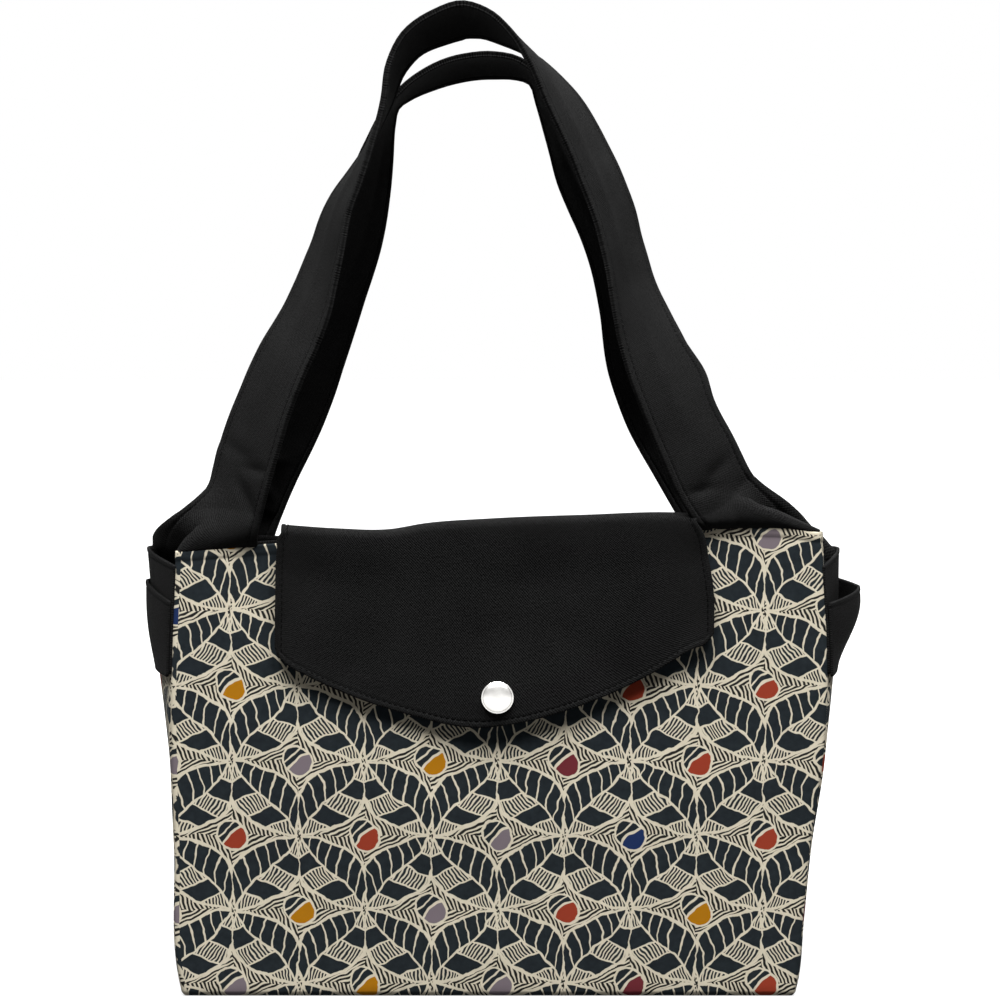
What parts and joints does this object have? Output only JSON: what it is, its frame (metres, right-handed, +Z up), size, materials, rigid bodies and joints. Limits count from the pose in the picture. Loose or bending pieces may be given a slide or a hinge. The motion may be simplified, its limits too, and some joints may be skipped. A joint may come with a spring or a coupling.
{
  "type": "tote bag",
  "caption": "Free-standing fabric tote bag with a gusseted body, end pockets, a pair of flared shoulder handles and a snap-down flap over its mouth.",
  "frame": {"origin": "middle of the base's underside, on the surface that the bag stands on", "axes": "+Z up, the long way of the bag with its handles raised; +X across the bag to the right as seen from the front; the front with the flap and snap faces -Y"},
  "size_m": [0.4114, 0.1298, 0.5542],
  "materials": {
    "printed_canvas": "matt printed cotton canvas, slate and cream with small warm accents",
    "black_twill": "matt black cotton twill with topstitched hems",
    "lining_cloth": "plain black lining",
    "board": "plain stiffening board",
    "snap_metal": "bright nickel plate"
  },
  "bodies": {
    "root": {"front_panel": "printed_canvas", "back_panel": "printed_canvas", "base_panel": "printed_canvas", "left_gusset": "printed_canvas", "right_gusset": "printed_canvas", "left_side_band": "black_twill", "right_side_band": "black_twill", "left_side_pocket": "black_twill", "right_side_pocket": "black_twill", "front_facing": "black_twill", "back_facing": "black_twill", "flap_top": "black_twill", "flap_top_lining": "black_twill", "front_lining": "lining_cloth", "back_lining": "lining_cloth", "left_lining": "lining_cloth", "right_lining": "lining_cloth", "base_lining": "lining_cloth", "base_board": "board", "snap_stud": "snap_metal", "snap_post": "snap_metal"},
    "front_handle": {"front_handle": "black_twill"},
    "back_handle": {"back_handle": "black_twill"},
    "flap": {"flap_front": "black_twill", "flap_front_lining": "black_twill", "snap_cap": "snap_metal", "snap_socket": "snap_metal"}
  },
  "joints": [
    {"name": "flap_lift", "type": "hinge", "parent": "root", "child": "flap", "pos_m": [0, -0.06376, 0.26325], "axis": [-1, 0, 0], "range_deg": [0, 150]},
    {"name": "front_handle_tip", "type": "hinge", "parent": "root", "child": "front_handle", "pos_m": [0, -0.0571, 0.261], "axis": [1, 0, 0], "range_deg": [-3, 120]},
    {"name": "back_handle_tip", "type": "hinge", "parent": "root", "child": "back_handle", "pos_m": [0, 0.0571, 0.249], "axis": [-1, 0, 0], "range_deg": [-3, 135]}
  ]
}
